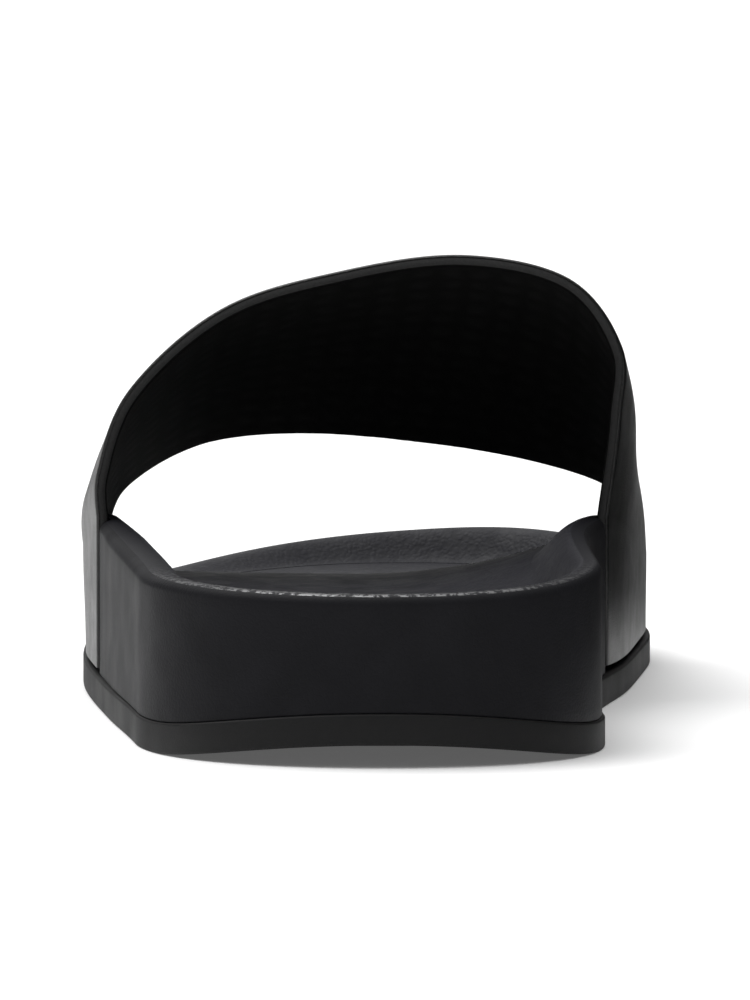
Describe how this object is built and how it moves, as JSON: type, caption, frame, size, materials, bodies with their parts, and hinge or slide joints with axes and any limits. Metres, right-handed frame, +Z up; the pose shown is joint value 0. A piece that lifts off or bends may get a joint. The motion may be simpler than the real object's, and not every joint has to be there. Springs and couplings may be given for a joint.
{
  "type": "slide sandal",
  "caption": "Flat slide sandal for the left foot: dished footbed with a raised lip, thick midsole on a thin outsole, and a wide band over the foot.",
  "frame": {"origin": "on the floor, under the middle of the sole's length and width", "axes": "+Y from heel to toe, +X towards the inner side (the big toe's), +Z up"},
  "size_m": [0.105, 0.27, 0.0801],
  "materials": {
    "outsole": "matt black moulded rubber",
    "midsole": "satin black foam with a fine leather-like skin",
    "footbed": "matt black foam with a fine raised grain",
    "strap": "satin black synthetic leather, textile lined"
  },
  "bodies": {
    "root": {"outsole": "outsole", "midsole": "midsole", "footbed": "footbed", "strap": "strap"}
  },
  "joints": []
}
